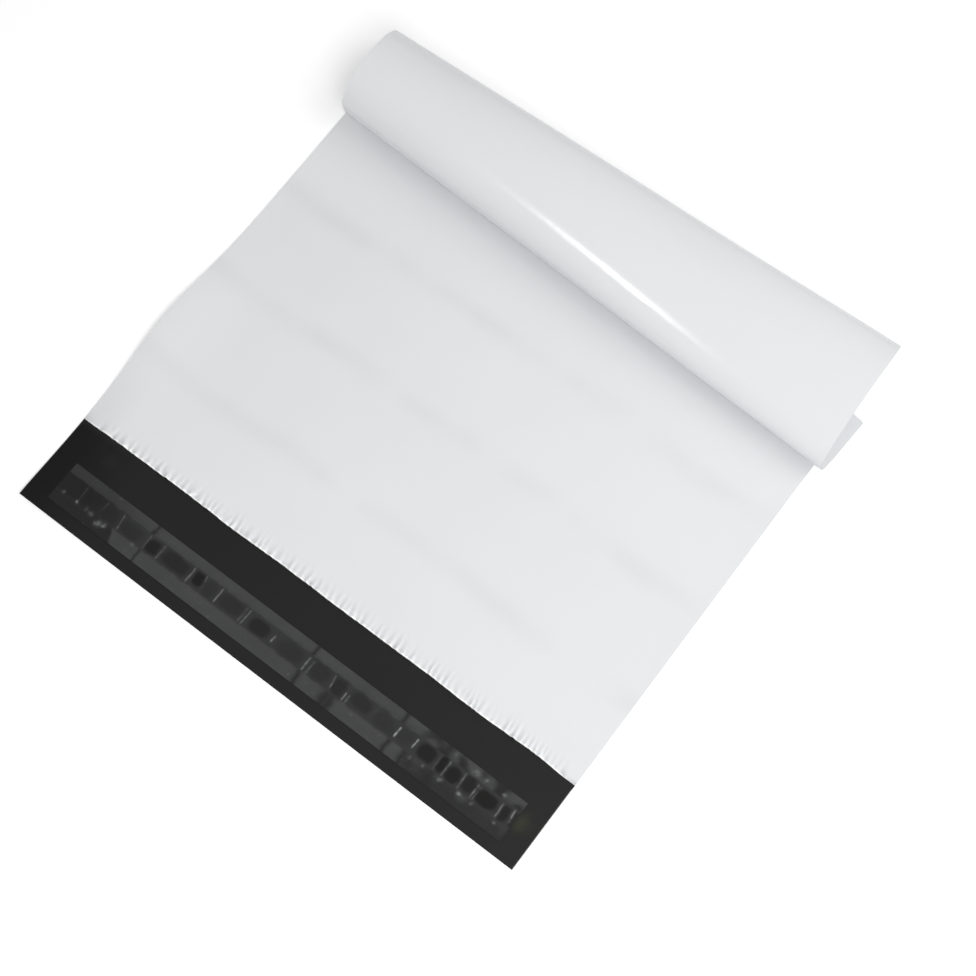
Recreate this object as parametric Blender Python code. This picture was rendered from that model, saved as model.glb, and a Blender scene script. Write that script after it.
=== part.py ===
"""Poly mailer bag, lying open with its closed end rolled over on top.

One folded film makes the pouch and its flap. The film is white outside and black inside, welded
together down both sides and open at the mouth. On the flap lie a strip of glue and the clear liner
that covers it.

Metres, +Z up. While it is laid out, the middle of the mouth is the origin, X runs along the mouth
and Y runs towards the closed end. The finished bag is then centred on its own footprint.
"""
import math

import bmesh
import bpy
from mathutils import Vector

# The film and the flat size of the bag
bag_width = 0.254           # side to side
bag_length = 0.330          # mouth to closed end, along the film
flap_depth = 0.041          # how far the back panel runs on past the mouth
film_gauge = 0.00006        # thickness of one layer of film
side_weld = 0.005           # width of the band where front and back are welded together

# The rolled end. The film leaves the floor on one straight line and turns over on itself.
lift_off = 0.193            # mouth to the line where the film leaves the floor
roll_width_left = 0.0434    # outside sizes of the roll at the bag's two sides
roll_height_left = 0.0280
roll_width_right = 0.0643
roll_height_right = 0.0195
turn_spacing = 0.0016       # how much tighter the film lies after each whole turn
roll_sag = 0.13             # how squarely the roll sits on the panel in front, 0 is an ellipse
end_drift = 0.0061          # how far the closed end wanders sideways as the roll widens

# The pocket between the front and the back film
mouth_gap = 0.0003          # how far the front film stands off the back one at the mouth
rolled_gap = 0.00025        # and inside the roll
pocket_rise = 0.0016        # and in the middle of the flat panel
swell_height = 0.0007       # low swells across the panel, side by side
swell_pitch = 0.047
swell_start = 0.026         # mouth to the first swell

# The fine gathers that the hot cut leaves along the mouth
gather_height = 0.0005
gather_reach = 0.007        # mouth to where they have faded out
gathers_a_column = 5        # gathers between two neighbouring lengthwise lines of the mesh
gather_step = 0.9           # radians between the heights of neighbouring gathers

# The glue on the flap and the liner over it
seat_gap = 0.0003           # clearance between pieces that lie on each other
liner_length = 0.233
liner_width = 0.0185
liner_from_mouth = 0.0167   # mouth to the liner's near edge
liner_gauge = 0.00005
glue_length = 0.230
glue_width = 0.0082
glue_from_mouth = 0.0211    # mouth to the glue's near edge
glue_height = 0.0001
ridge_height = 0.0003       # creases across the liner, where it lifts off the glue
ridge_width = 0.0016
ridge_pitch = 0.0115        # usual distance from one crease to the next
ridge_scatter = 0.0034      # and how much that distance varies
ridge_step = 2.4            # radians between the variations of neighbouring creases

# How finely the forms are divided
pouch_columns = 14
flap_rows = 2
panel_rows = 13
roll_rows = 36
glue_facets = 6
length_step = 0.002         # radians, for measuring the film's length round the roll


def mix(first, second, share):
    """The value a share of the way from the first to the second."""
    return first + (second - first) * share


def ease(share):
    """A smooth rise from 0 to 1."""
    share = min(max(share, 0.0), 1.0)
    return share * share * (3 - 2 * share)


def finish(name, mesh, materials):
    """Turn a bmesh into a named, smooth object that faces outwards."""
    bmesh.ops.recalc_face_normals(mesh, faces=mesh.faces)
    data = bpy.data.meshes.new(name)
    mesh.to_mesh(data)
    mesh.free()
    for material in materials:
        data.materials.append(material)
    data.shade_smooth()
    data.set_sharp_from_angle(angle=math.radians(50))
    piece = bpy.data.objects.new(name, data)
    bpy.context.collection.objects.link(piece)
    return piece


def surface(name, colour, roughness, alpha=1.0):
    """A plain plastic surface."""
    material = bpy.data.materials.new(name)
    material.use_nodes = True
    shader = material.node_tree.nodes["Principled BSDF"]
    shader.inputs["Base Color"].default_value = (*colour, 1.0)
    shader.inputs["Roughness"].default_value = roughness
    shader.inputs["Metallic"].default_value = 0.0
    shader.inputs["Alpha"].default_value = alpha
    return material


def pave(mesh, rows, slot=0):
    """Fill a grid of vertices with four-sided faces."""
    for near, far in zip(rows, rows[1:]):
        for i in range(len(near) - 1):
            face = mesh.faces.new((near[i], near[i + 1], far[i + 1], far[i]))
            face.material_index = slot


def fan_out(mesh, fine, coarse, slot=0):
    """Fill the strip between a finely divided row and a coarse one."""
    step = (len(fine) - 1) // (len(coarse) - 1)
    middle = step // 2
    for i in range(len(coarse) - 1):
        near = fine[i * step:(i + 1) * step + 1]
        corners = [coarse[i]] * middle + [coarse[i + 1]] * (step - middle)
        triangles = [(near[k], near[k + 1], corners[k]) for k in range(step)]
        for triangle in triangles + [(near[middle], coarse[i + 1], coarse[i])]:
            mesh.faces.new(triangle).material_index = slot


def close_edge(mesh, lower, upper):
    """Join two edges of the same length with a narrow wall."""
    for i in range(len(lower) - 1):
        mesh.faces.new((lower[i], lower[i + 1], upper[i + 1], upper[i]))


def roll_halves(share):
    """Half the width and half the height of the roll, a share of the way from left to right."""
    width = mix(roll_width_left, roll_width_right, share)
    height = mix(roll_height_left, roll_height_right, share)
    return width / 2, height / 2


def roll_point(halves, turn):
    """Where the outside of the film is when it has turned by an angle round the roll."""
    half_width, half_height = halves
    inset = turn_spacing * turn / (2 * math.pi)
    sag = 0.0
    if 1.5 * math.pi < turn < 2 * math.pi:
        sag = roll_sag * math.sin(2 * turn) ** 2
    y = lift_off + (half_width - inset) * (math.sin(turn) - sag)
    z = half_height - (half_height - inset) * (math.cos(turn) + sag)
    return y, z


def last_turn(halves):
    """The angle at which the rolled length of the film is used up."""
    left = bag_length - lift_off
    turn = 0.0
    here = roll_point(halves, turn)
    while left > 0:
        turn += length_step
        there = roll_point(halves, turn)
        left -= math.dist(here, there)
        here = there
    return turn


def stations(share):
    """Places along the film at one column, from the flap's edge to the closed end.

    Each is the outside point (y, z), the direction (y, z) towards the inside of the film, the
    distance from the mouth and the share of the roll that has been turned.
    """
    along = [-flap_depth + flap_depth * i / flap_rows for i in range(flap_rows)]
    along += [0.0, gather_reach / 2, gather_reach]
    along += [lift_off * i / panel_rows for i in range(1, panel_rows)]
    places = [((y, 0.0), (0.0, 1.0), y, 0.0) for y in along]
    halves = roll_halves(share)
    end = last_turn(halves)
    for i in range(roll_rows + 1):
        turned = i / roll_rows
        before = roll_point(halves, end * turned - length_step)
        after = roll_point(halves, end * turned + length_step)
        step = math.dist(before, after)
        inward = ((before[1] - after[1]) / step, (after[0] - before[0]) / step)
        if i == 0:
            inward = (0.0, 1.0)
        distance = mix(lift_off, bag_length, turned)
        places.append((roll_point(halves, end * turned), inward, distance, turned))
    return places


def pocket_gap(share, distance):
    """How far the front film stands off the back one, between the welds."""
    across = math.sin(math.pi * share)
    if distance >= lift_off:
        return rolled_gap * across
    to_middle = ease(distance / (lift_off * 0.35))
    to_roll = ease((lift_off - distance) / (lift_off * 0.35))
    swell = swell_height * math.cos(2 * math.pi * (distance - swell_start) / swell_pitch)
    rise = (pocket_rise + swell) * to_middle * to_roll
    base = mix(rolled_gap, mouth_gap, to_roll)
    return (base + rise) * across


def gather(place, places):
    """Height of the gathers at one of the evenly spaced places along the mouth's cut edge."""
    if place % 2 == 0:
        return 0.0
    uneven = 0.55 + 0.45 * math.sin(gather_step * place)
    return gather_height * uneven * math.sin(math.pi * place / places) ** 0.3


def mailer_film():
    """The one folded film: back panel, flap, front panel and the pocket between them."""
    mesh = bmesh.new()
    half = bag_width / 2
    weld_line = half - side_weld
    inner = [mix(-weld_line, weld_line, i / pouch_columns) for i in range(pouch_columns + 1)]
    columns = [-half] + inner + [half]
    last = len(columns) - 1
    spines = [stations((x + half) / bag_width) for x in columns]
    rows = len(spines[0])
    mouth = flap_rows
    gathered_rows = 2
    places = pouch_columns * 2 * gathers_a_column
    pocket_end = rows - 2

    def vertex(column, row, offset):
        (y, z), inward, distance, turned = spines[column][row]
        x = columns[column] + end_drift * turned * turned
        return mesh.verts.new((x, y + inward[0] * offset, z + inward[1] * offset))

    def gap(column, row):
        if column in (0, 1, last - 1, last) or row >= pocket_end:
            return 0.0
        return pocket_gap((column - 1) / pouch_columns, spines[column][row][2])

    def gathered(row, offset):
        """The front film between the welds, near the mouth."""
        distance = spines[0][row][2]
        fade = 1 - distance / gather_reach
        heights = [pocket_gap(i / places, distance) + fade * gather(i, places)
                   for i in range(1, places)]
        return [mesh.verts.new((mix(-weld_line, weld_line, i / places), distance, offset + height))
                for i, height in enumerate(heights, start=1)]

    every = range(last + 1)
    outside = [[vertex(c, r, 0.0) for c in every] for r in range(rows)]
    inside = [[vertex(c, r, film_gauge) for c in every] for r in range(mouth + 1)]

    # The outside of the front film. Its first rows are finely divided, for the gathers.
    front = []
    for r in range(mouth, rows):
        row = [vertex(c, r, 2 * film_gauge + gap(c, r)) for c in every]
        if r < mouth + gathered_rows:
            row = row[:2] + gathered(r, 2 * film_gauge) + row[-2:]
        front.append(row)

    # The pocket's two skins meet along the welds and at the closed end
    back_skin = [inside[mouth][1:last]]
    for r in range(mouth + 1, pocket_end + 1):
        back_skin.append([vertex(c, r, film_gauge) for c in range(1, last)])
    front_skin = []
    for r in range(mouth, pocket_end):
        if r < mouth + gathered_rows:
            row = gathered(r, film_gauge)
        else:
            row = [vertex(c, r, film_gauge + gap(c, r)) for c in range(2, last - 1)]
        front_skin.append([back_skin[r - mouth][0]] + row + [back_skin[r - mouth][-1]])
    front_skin.append(back_skin[-1])

    pave(mesh, outside)
    pave(mesh, inside, slot=1)
    pave(mesh, back_skin, slot=1)
    for rows_across, slot in ((front, 0), (front_skin, 1)):
        pave(mesh, rows_across[:gathered_rows], slot)
        pave(mesh, rows_across[gathered_rows:], slot)
    fine, coarse = front[gathered_rows - 1], front[gathered_rows]
    fan_out(mesh, fine[1:-1], coarse[1:-1])
    fan_out(mesh, front_skin[gathered_rows - 1], front_skin[gathered_rows], slot=1)
    pave(mesh, [fine[:2], coarse[:2]])
    pave(mesh, [fine[-2:], coarse[-2:]])

    # Cut edges: flap, mouth, closed end and the two sides
    close_edge(mesh, outside[0], inside[0])
    close_edge(mesh, [inside[mouth][0]] + front_skin[0] + [inside[mouth][last]], front[0])
    close_edge(mesh, outside[-1], front[-1])
    for end in (0, -1):
        close_edge(mesh, [row[end] for row in outside[:mouth + 1]], [row[end] for row in inside])
        close_edge(mesh, [row[end] for row in outside[mouth + 1:]], [row[end] for row in front[1:]])
        mesh.faces.new((outside[mouth][end], outside[mouth + 1][end], front[1][end],
                        front[0][end], inside[mouth][end]))

    white = surface("white_film", (0.80, 0.81, 0.82), 0.32)
    black = surface("black_inner_face", (0.022, 0.022, 0.022), 0.38)
    return finish("mailer_film", mesh, (white, black))


def adhesive_strip():
    """A low bead of glue along the flap."""
    mesh = bmesh.new()
    floor = film_gauge + seat_gap
    middle = -glue_from_mouth - glue_width / 2
    section = []
    for i in range(glue_facets + 1):
        angle = math.pi * i / glue_facets
        height = glue_height * math.sin(angle) ** 0.5 if 0 < i < glue_facets else 0.0
        section.append((middle + glue_width / 2 * math.cos(angle), floor + height))
    ends = []
    for x in (-glue_length / 2, glue_length / 2):
        ends.append([mesh.verts.new((x, y, z)) for y, z in section])
    pave(mesh, [end + [end[0]] for end in ends])
    for end in ends:
        mesh.faces.new(end)
    glue = surface("hot_melt_glue", (0.30, 0.28, 0.24), 0.25, alpha=0.6)
    return finish("adhesive_strip", mesh, (glue,))


def ridge_places():
    """Where the creases cross the liner, at uneven steps from its left end."""
    places = []
    x = -liner_length / 2 + ridge_pitch
    while x < liner_length / 2 - ridge_pitch / 2:
        places.append(x)
        x += ridge_pitch + ridge_scatter * math.sin(ridge_step * len(places))
    return places


def release_liner():
    """A clear film, raised over the glue and creased across it."""
    mesh = bmesh.new()
    floor = film_gauge + seat_gap
    raised = glue_height + seat_gap
    near, far = -liner_from_mouth, -liner_from_mouth - liner_width
    middle = -glue_from_mouth - glue_width / 2
    shoulder = glue_width / 2 + seat_gap
    foot = shoulder + 3 * raised
    section = [(far, 0.0, 0.0), (middle - foot, 0.0, 0.0), (middle - shoulder, raised, 0.5),
               (middle, raised, 1.0), (middle + shoulder, raised, 0.5),
               (middle + foot, 0.0, 0.0), (near, 0.0, 0.0)]
    columns = [(-liner_length / 2, 0.0)]
    for x in ridge_places():
        columns += [(x - ridge_width / 2, 0.0), (x, ridge_height), (x + ridge_width / 2, 0.0)]
    columns.append((liner_length / 2, 0.0))
    skins = []
    for thickness in (0.0, liner_gauge):
        skins.append([[mesh.verts.new((x, y, floor + z + lift * crest + thickness))
                       for y, z, crest in section] for x, lift in columns])
    lower, upper = skins
    for skin in skins:
        pave(mesh, skin)
    for end in (0, -1):
        close_edge(mesh, lower[end], upper[end])
        close_edge(mesh, [row[end] for row in lower], [row[end] for row in upper])
    clear = surface("clear_liner", (0.75, 0.76, 0.78), 0.18, alpha=0.25)
    return finish("release_liner", mesh, (clear,))


def centre(pieces):
    """Move the pieces together so that the middle of their footprint is the origin."""
    corners = [piece.data.vertices[i].co for piece in pieces for i in range(len(piece.data.vertices))]
    low = [min(corner[axis] for corner in corners) for axis in range(3)]
    high = [max(corner[axis] for corner in corners) for axis in range(3)]
    shift = Vector((-(low[0] + high[0]) / 2, -(low[1] + high[1]) / 2, -low[2]))
    for piece in pieces:
        piece.location = shift


for old in list(bpy.data.objects):
    bpy.data.objects.remove(old)

centre([mailer_film(), adhesive_strip(), release_liner()])
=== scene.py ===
"""Looks of a poly mailer bag that lies open, with its closed end rolled over on top.

The file is laid out as an add-on and is run as a script. Everything is in metres, in the frame of
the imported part: +Z up, +Y from the flap towards the rolled end, +X along the mouth.
"""

import math
import random

import bmesh
import bpy
from bpy.props import FloatProperty, FloatVectorProperty, IntProperty, PointerProperty
from mathutils import Matrix, Vector, noise


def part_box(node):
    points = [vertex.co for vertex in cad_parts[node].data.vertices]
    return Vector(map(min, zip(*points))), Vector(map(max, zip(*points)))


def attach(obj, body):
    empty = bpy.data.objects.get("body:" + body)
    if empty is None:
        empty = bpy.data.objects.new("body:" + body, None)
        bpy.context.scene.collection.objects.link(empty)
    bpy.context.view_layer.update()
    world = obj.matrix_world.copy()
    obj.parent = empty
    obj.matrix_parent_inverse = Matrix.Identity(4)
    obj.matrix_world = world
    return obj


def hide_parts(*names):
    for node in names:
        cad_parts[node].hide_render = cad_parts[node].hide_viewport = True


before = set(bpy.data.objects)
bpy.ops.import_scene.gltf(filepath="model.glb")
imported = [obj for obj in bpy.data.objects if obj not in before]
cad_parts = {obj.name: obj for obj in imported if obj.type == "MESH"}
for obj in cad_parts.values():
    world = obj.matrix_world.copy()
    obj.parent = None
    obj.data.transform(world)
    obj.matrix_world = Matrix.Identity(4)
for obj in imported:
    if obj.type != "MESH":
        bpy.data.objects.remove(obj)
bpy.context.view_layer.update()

bl_info = {
    "name": "Poly mailer bag",
    "version": (1, 0, 0),
    "blender": (4, 5, 0),
    "location": "3D View > Sidebar > Mailer",
    "description": "Builds a film mailing bag with a sealing flap, its glue and its liner",
    "category": "Add Mesh",
}

film_low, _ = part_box("mailer_film")
glue_low, glue_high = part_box("adhesive_strip")
liner_low, liner_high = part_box("release_liner")

# Slots of the film's two materials
OUTSIDE, INSIDE = 0, 1
# Old glue smeared on the flap: its colour, its place from the mouth's middle, and its reach
GLUE_STAIN = (0.024, 0.024, 0.015)
STAIN_PLACE, STAIN_REACH = (0.1185, -0.0245), (0.0040, 0.0045)
# Faint smudges on the flap: place, reach and strength
SMUDGES = (((-0.1065, -0.0075), (0.0028, 0.0016), 0.035),
           ((-0.1130, -0.0050), (0.0016, 0.0024), 0.021))
# The lamps: name, place and aim from the mouth's middle, size, and watts
LAMPS = (("front_box", (0.45, -0.30, 0.75), (0.0, 0.1, 0.0), (0.6, 0.6), 4.05),
         ("back_box", (0.42, 0.50, 0.60), (0.0, 0.1, 0.0), (0.6, 0.6), 2.0),
         ("streak", (-0.48, -0.68, 2.90), (0.0, 0.0, 0.0), (0.19, 0.37), 3.9))


def length(label, about, value, smallest=0.0):
    """A size in metres that a user may change."""
    return FloatProperty(name=label, description=about, default=value, min=smallest,
                         unit="LENGTH", subtype="DISTANCE", precision=5)


def share(label, about, value):
    """A plain number from 0 to 1."""
    return FloatProperty(name=label, description=about, default=value, min=0.0, max=1.0)


def colour(label, about, value):
    """A colour in linear light."""
    return FloatVectorProperty(name=label, description=about, default=value, size=3,
                               min=0.0, max=1.0, subtype="COLOR")


class FilmSizes(bpy.types.PropertyGroup):
    """Sizes of the film bag."""
    width: length("Width", "Side to side", 0.254)
    depth: length("Length", "Mouth to closed end, along the film", 0.330)
    flap: length("Flap", "How far the back panel runs on past the mouth", 0.041)
    gauge: length("Gauge", "Thickness of one layer of film", 0.00006)
    weld: length("Side weld", "Width of the band that joins front and back", 0.005)
    lip: length("Lip", "Width of the cut edge that turns up", 0.0004)
    lift_off: length("Lift-off", "Mouth to the line where the film leaves the floor", 0.1930)
    mouth_gap: length("Mouth gap", "How far the front stands off the back at the mouth", 0.0003)
    rolled_gap: length("Rolled gap", "The same inside the roll", 0.00025)
    rise: length("Pocket rise", "The same in the middle of the flat panel", 0.0016)
    swell: length("Swell", "Height of the low steps across the panel", 0.00045)
    swell_pitch: length("Swell pitch", "From one step to the next", 0.0470)
    swell_start: length("Swell start", "Mouth to the first step", 0.0395)
    swell_width: share("Swell width", "Half the width of a step, in pitches", 0.055)
    # Painted shade in a band along each step: how dark it is, and half its width
    band: share("Band", "How grey the film is along a step", 0.16)
    band_half: length("Band half", "Half the width of that grey band", 0.0044)
    dip: length("Dip", "Length of the slope down to the roll", 0.032)
    dip_end: length("Dip's end", "From there to the lift-off", 0.027)
    ripple: length("Ripple", "Height of the uneven ripples in the panel", 0.0003)
    ripple_size: length("Ripple size", "Usual size of one of them", 0.034)
    side_place: length("Side place", "Mouth to where the left edge lifts most", 0.055)
    side_lift: length("Side lift", "How far it lifts off the floor there", 0.0030)
    side_bulge: length("Side bulge", "How far it strays outwards there", 0.0018)
    corner_lift: length("Corner lift", "How far the flap's left corner lifts", 0.0010)
    edge_lift: length("Edge lift", "How far the flap's edge lifts", 0.0004)


class RollSizes(bpy.types.PropertyGroup):
    """Sizes of the rolled end."""
    left_width: length("Left width", "Width of the roll at the left side", 0.0434)
    left_height: length("Left height", "Height of the roll at the left side", 0.0280)
    right_width: length("Right width", "Width of the roll at the right side", 0.0643)
    right_height: length("Right height", "Height of the roll at the right side", 0.0195)
    turn_spacing: length("Turn spacing", "How much tighter the film lies after a turn", 0.0016)
    sag: share("Sag", "How squarely the roll sits on the panel in front", 0.13)
    end_drift: length("Drift", "How far the closed end wanders sideways", 0.0061)
    dent: length("Dents", "Depth of the soft dents along the roll", 0.0004)
    dent_size: length("Dent size", "Usual size of a dent", 0.045)


class PuckerSizes(bpy.types.PropertyGroup):
    """The fine creases that stand along the mouth."""
    pitch_left: length("Left pitch", "From one crease to the next at the left side", 0.0035)
    pitch_right: length("Right pitch", "The same at the right side", 0.0025)
    height: length("Height", "Height of a crease", 0.00085)
    short: length("Short", "Reach of the creases at the left side", 0.0036)
    tall: length("Long", "Reach of the creases at the right side", 0.0068)
    group: length("Group", "From one group of creases to the next", 0.020)
    wave: length("Wave", "How far the cut edge wanders in and out", 0.0005)
    slope: length("Slope", "How far the front film comes down towards its cut edge", 0.00025)
    slope_reach: length("Slope reach", "How far in from the edge that starts", 0.006)
    # Strength of the painted shade in the hollows between the creases
    painted_shade: share("Grey", "How grey the film is between two creases", 1.0)
    lean: FloatProperty(name="Lean", description="Sideways slope of the creases", default=0.12)


class LinerSizes(bpy.types.PropertyGroup):
    """The clear liner over the glue."""
    gauge: length("Gauge", "Thickness of the liner", 0.00005)
    seat: length("Seat", "Clearance between pieces that lie on each other", 0.0003)
    ridge: length("Ridge", "Height of the creases across the liner", 0.0003)
    ridge_width: length("Ridge width", "Width of such a crease", 0.0007)
    wetted: length("Wetted", "Half the width of the glue that the liner touches", 0.0041)
    # The next six set the liner's painted reflection: over bare black film, over air in the
    # margins, over lifted and touched glue, and the painted highlight of a crease
    clear: share("Clear", "Milkiness where the liner shows the black film unchanged", 0.0185)
    margin_reflection: share("Milky", "Milkiness of the margins, which lie on air", 0.079)
    margin_reflection_left: share("Milky left", "The same at the left end", 0.066)
    lifted: share("Lifted", "Milkiness where the liner stands off the glue", 0.042)
    touched: share("Touched", "Milkiness where it touches the glue", 0.004)
    crease_highlight: share("Line haze", "Milkiness of a crease of brightness 1", 0.32)
    seed: IntProperty(name="Seed", description="Picks the uneven places", default=7)


class Finishes(bpy.types.PropertyGroup):
    """Colours and gloss."""
    white: colour("White film", "Outside of the bag", (0.80, 0.81, 0.825))
    # Tone of the painted highlight along the front film's cut edge at the mouth
    mouth_highlight: colour("Cut white", "White film along a cut", (0.98, 0.98, 0.98))
    cut_black: colour("Cut black", "Black film where its white side turns up", (0.50, 0.50, 0.50))
    black: colour("Black film", "Inside of the bag and the flap", (0.0072, 0.0072, 0.0072))
    glue: colour("Glue", "The glue, seen through the liner", (0.0045, 0.0045, 0.0042))
    # Colour of the painted reflection, highlights and glints on the liner
    painted_reflection_and_wear: colour("Haze", "Light that the clear liner throws back", (0.62, 0.63, 0.64))
    white_roughness: share("White roughness", "Roughness of the outside", 0.13)
    black_roughness: share("Black roughness", "Roughness of the inside", 0.42)
    liner_roughness: share("Liner roughness", "Roughness of the liner", 0.40)
    glue_roughness: share("Glue roughness", "Roughness of the glue", 0.30)


class StageSettings(bpy.types.PropertyGroup):
    """Floor, lights and camera."""
    floor: colour("Floor", "Colour of the floor", (0.90, 0.90, 0.90))
    glow: share("Glow", "Light that the camera sees the floor give off", 0.26)
    sky: share("Sky", "Strength of the even light from all round", 0.465)
    azimuth: FloatProperty(name="Azimuth", description="Camera's bearing round the bag",
                           default=math.radians(41.68), subtype="ANGLE")
    elevation: FloatProperty(name="Elevation", description="Camera's height above the horizon",
                             default=math.radians(73.06), subtype="ANGLE")
    tilt: FloatProperty(name="Tilt", description="Turn of the camera about its own axis",
                        default=math.radians(-4.67), subtype="ANGLE")
    distance: length("Distance", "Camera to the point that it looks at", 0.8175)
    aim_along: length("Aim along", "That point, along the mouth from its middle", 0.0259, -1.0)
    aim_in: length("Aim in", "That point, from the mouth towards the closed end", 0.0767, -1.0)
    lens: FloatProperty(name="Lens", description="Focal length in millimetres", default=73.53)
    sensor: FloatProperty(name="Sensor", description="Sensor width in millimetres", default=36.0)


class MailerSettings(bpy.types.PropertyGroup):
    """Everything that can be set."""
    film: PointerProperty(type=FilmSizes)
    roll: PointerProperty(type=RollSizes)
    pucker: PointerProperty(type=PuckerSizes)
    liner: PointerProperty(type=LinerSizes)
    finish: PointerProperty(type=Finishes)
    stage: PointerProperty(type=StageSettings)


# Small helpers for shapes

def mix(first, second, part):
    """The value a part of the way from the first to the second."""
    return first + (second - first) * part


def ease(part):
    """A smooth rise from 0 to 1."""
    part = min(max(part, 0.0), 1.0)
    return part * part * (3 - 2 * part)


def bell(value, middle, reach):
    """A smooth bump, 1 at the middle and nearly 0 two reaches away."""
    return math.exp(-((value - middle) / reach) ** 2)


def oval(place, middle, reach):
    """A smooth oval patch, 1 at its middle."""
    return bell(place.x, middle[0], reach[0]) * bell(place.y, middle[1], reach[1])


def uneven(x, y, size, layer=0.0):
    """Smooth noise of about -1 to 1, with features of the given size."""
    return noise.noise(Vector((x / size, y / size, layer)))


def bare_mesh_object(name, mesh, materials, sharp_from=50):
    """Turn a bmesh into a smooth object at the origin."""
    bmesh.ops.recalc_face_normals(mesh, faces=mesh.faces)
    data = bpy.data.meshes.new(name)
    mesh.to_mesh(data)
    mesh.free()
    for material in materials:
        data.materials.append(material)
    data.shade_smooth()
    data.set_sharp_from_angle(angle=math.radians(sharp_from))
    piece = bpy.data.objects.new(name, data)
    bpy.context.collection.objects.link(piece)
    return piece


def pave(mesh, rows, slot):
    """Fill a grid of vertices with four-sided faces."""
    for near, far in zip(rows, rows[1:]):
        for i in range(len(near) - 1):
            mesh.faces.new((near[i], near[i + 1], far[i + 1], far[i])).material_index = slot


def pave_wider(mesh, fine, coarse, step, slot):
    """Join a row of vertices to a row that has only each step-th of its places."""
    for i in range(len(coarse) - 1):
        fan = fine[i * step:(i + 1) * step + 1]
        mesh.faces.new((*fan, coarse[i + 1], coarse[i])).material_index = slot


def close_edge(mesh, lower, upper, slot):
    """Join two edges of the same length with a narrow wall."""
    pave(mesh, [lower, upper], slot)


# The film

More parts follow.
